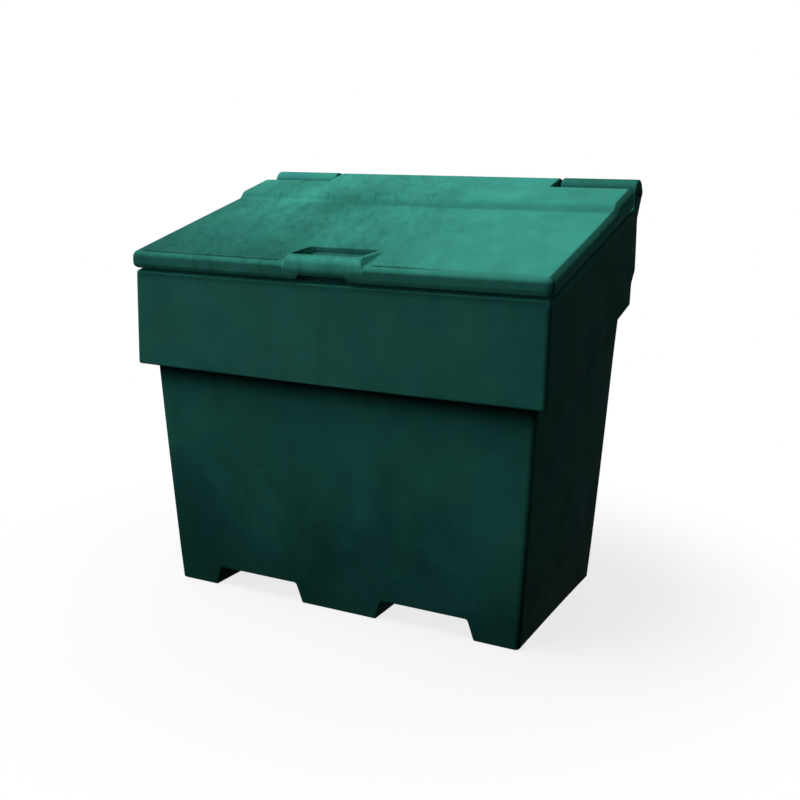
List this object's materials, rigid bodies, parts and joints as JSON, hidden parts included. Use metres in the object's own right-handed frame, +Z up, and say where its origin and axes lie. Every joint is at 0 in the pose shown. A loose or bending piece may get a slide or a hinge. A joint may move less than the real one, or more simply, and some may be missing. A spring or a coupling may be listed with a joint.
{
  "type": "grit salt bin",
  "caption": "Free-standing moulded grit bin: tapered tub on hollow runners with fork channels, overhanging band, and a sloped double-skinned lid hinged at the rear.",
  "frame": {"origin": "centre of the tub's footprint, on the ground", "axes": "+X across the bin, to the right of someone who faces its front, +Y from the front to the hinge, +Z up"},
  "size_m": [1.02, 0.6704, 0.9951],
  "materials": {
    "body_plastic": "rotationally moulded polyethylene, dark green, fine matt skin with scuffs",
    "lid_plastic": "rotationally moulded polyethylene, green, satin skin with cloudy mottling and scuffs",
    "rod_steel": "zinc-plated steel rod",
    "cap_plastic": "moulded green plastic"
  },
  "bodies": {
    "bin": {"bin_body": "body_plastic", "hinge_rod": "rod_steel", "rod_cap_left": "cap_plastic", "rod_cap_right": "cap_plastic"},
    "lid": {"lid": "lid_plastic"}
  },
  "joints": [
    {"name": "lid_hinge", "type": "hinge", "parent": "bin", "child": "lid", "pos_m": [0, 0.29327, 0.96516], "axis": [-1, 0, 0], "range_deg": [0, 110]}
  ]
}
